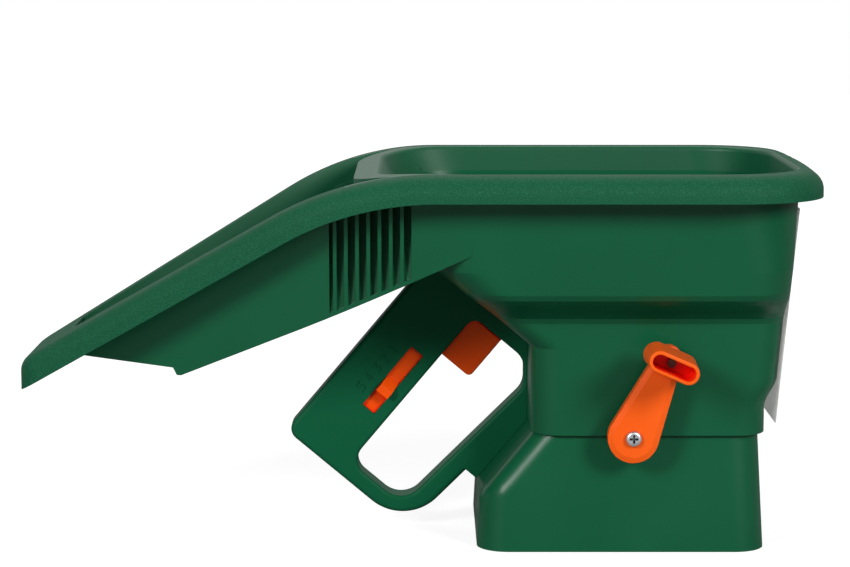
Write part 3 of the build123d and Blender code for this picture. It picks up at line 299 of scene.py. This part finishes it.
def thin_film(name, shade, bright):
    """Blank paper film that lets light through."""
    material, tree, shader, place = start_material(name)
    fibre = spread(tree, speckle(tree, place, 600.0, 3.0), 0.3, 0.7)
    colour = blend_colours(tree, fibre, shade, bright)
    tree.links.new(colour, shader.inputs["Base Color"])
    shader.inputs["Roughness"].default_value = 0.5
    glow = add_node(tree, "ShaderNodeBsdfTranslucent")
    tree.links.new(colour, glow.inputs["Color"])
    both = add_node(tree, "ShaderNodeMixShader")
    both.inputs[0].default_value = 0.65
    tree.links.new(shader.outputs[0], both.inputs[1])
    tree.links.new(glow.outputs[0], both.inputs[2])
    tree.links.new(both.outputs[0], tree.nodes["Material Output"].inputs["Surface"])
    return material


finishes = {
    "green_shell": plastic("shell_green", green, green_pale, 0.33, shell_grain, 0.00003, wall_shine),
    "orange_plastic": plastic(
        "orange_plastic", orange_deep, orange, 0.32, 900.0, 0.00002, hollow_shade=orange_painted_cavity_red
    ),
    "label_film": thin_film("label_film", film_shade, film),
    "bearing_plastic": plastic("bearing_plastic", acetal_shade, acetal, 0.38, 700.0, 0.00002),
    "dark_plastic": plastic("dark_plastic", black, black_pale, 0.42, 900.0, 0.00004),
    "steel": metal("drawn_steel", steel, steel_dull, 0.34, 1400.0),
    "zinc_steel": metal("zinc_plate", zinc, zinc_dull, 0.40, 700.0, zinc_painted_recess_shade),
}
for entry in frame["record"]["subparts"]:
    node = nodes[entry["node"]]
    node.data.materials.clear()
    node.data.materials.append(finishes[entry["material_slot"]])

# Pieces with a finish of their own
shell = hopper_plastic()
grip = plastic("grip_green", green, green_pale, 0.45, shell_grain, 0.00003, 0.08)
# Painted shade: the trigger and slider take the darker, redder copy of the orange, as they sit in shade
# under the hopper
painted_shade_orange = plastic(
    "orange_painted_shade_copy", orange_painted_shade_deep, orange_painted_shade, 0.34, 900.0, 0.00002, 0.12, hollow_shade=orange_painted_cavity_red
)
# Knob pin head drawn dark grey-brown
pin_finish = metal("dark_pin_steel", pin_grey, pin_dark, 0.45, 900.0)
own_finishes = {
    "hopper": shell,
    "scoop": shell,
    "handle_near_half": grip,
    "handle_far_half": grip,
    "trigger": painted_shade_orange,
    "rate_slider": painted_shade_orange,
    "knob_pin": pin_finish,
}
for name, finish in own_finishes.items():
    nodes[name].data.materials.clear()
    nodes[name].data.materials.append(finish)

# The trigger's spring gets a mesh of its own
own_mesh(nodes["trigger_spring"])

# Floor
bpy.ops.mesh.primitive_plane_add(size=8.0, location=(0, 0, -0.0002))
floor = bpy.context.object
floor.name = "floor"
paper, tree, shader, place = start_material("floor_paper")
tone = blend_colours(tree, speckle(tree, place, 3.0), floor_dark, floor_pale)
tree.links.new(tone, shader.inputs["Base Color"])
shader.inputs["Roughness"].default_value = 0.9
shader.inputs["Emission Color"].default_value = white
rays = add_node(tree, "ShaderNodeLightPath")
reach = add_node(tree, "ShaderNodeVectorMath", operation="LENGTH")
tree.links.new(place, reach.inputs[0])
glow = spread(tree, reach.outputs["Value"], 0.25, 1.6, floor_near_glow, 1.0)
seen_glow = calculate(tree, "MULTIPLY", rays.outputs["Is Camera Ray"], glow)
tree.links.new(seen_glow, shader.inputs["Emission Strength"])
floor.data.materials.append(paper)

# World: white where it is seen, bright behind the part in reflections, a dim fill as light
world = bpy.data.worlds.new("studio")
bpy.context.scene.world = world
world.use_nodes = True
tree = world.node_tree
background = tree.nodes["Background"]
rays = add_node(tree, "ShaderNodeLightPath")
heading = add_node(tree, "ShaderNodeSeparateXYZ")
tree.links.new(add_node(tree, "ShaderNodeTexCoord").outputs["Generated"], heading.inputs[0])
sheen = spread(tree, heading.outputs[1], -0.1, 0.5, front_sheen, back_sheen)
sheen_past_fill = calculate(tree, "SUBTRACT", sheen, fill)
gloss = calculate(tree, "MULTIPLY", rays.outputs["Is Glossy Ray"], sheen_past_fill)
unseen = calculate(tree, "ADD", gloss, fill)
seen = calculate(tree, "MAXIMUM", rays.outputs["Is Camera Ray"], rays.outputs["Is Transmission Ray"])
tree.links.new(calculate(tree, "MAXIMUM", seen, unseen), background.inputs["Strength"])
background.inputs["Color"].default_value = white


def softbox(name, place, target, width, height, power):
    """Rectangular area lamp that faces a target."""
    lamp = bpy.data.lights.new(name, "AREA")
    lamp.shape = "RECTANGLE"
    lamp.size = width
    lamp.size_y = height
    lamp.energy = power
    holder = bpy.data.objects.new(name, lamp)
    bpy.context.scene.collection.objects.link(holder)
    holder.location = place
    direction = holder.location.copy()
    direction.x, direction.y, direction.z = (t - p for t, p in zip(target, place))
    holder.rotation_euler = direction.to_track_quat("-Z", "Y").to_euler()


middle = (-0.08, 0.0, 0.13)
softbox("left_box", (-1.25, -1.45, 0.95), middle, 0.5, 0.6, 26.0)
softbox("right_box", (1.09, -1.45, 0.95), middle, 0.5, 0.6, 26.0)
softbox("top_box", (-0.10, 0.90, 1.50), middle, 1.4, 0.8, 8.0)

# Camera at the photograph's place
camera = bpy.data.cameras.new("camera")
camera.sensor_width = 36.0
camera.sensor_fit = "HORIZONTAL"
camera.lens = camera_lens
camera.clip_start = 0.01
viewer = bpy.data.objects.new("camera", camera)
bpy.context.scene.collection.objects.link(viewer)
viewer.location = camera_place
viewer.rotation_euler = (radians(90.0 - camera_dip), 0.0, 0.0)
bpy.context.scene.camera = viewer
bpy.context.scene.view_settings.view_transform = "Standard"
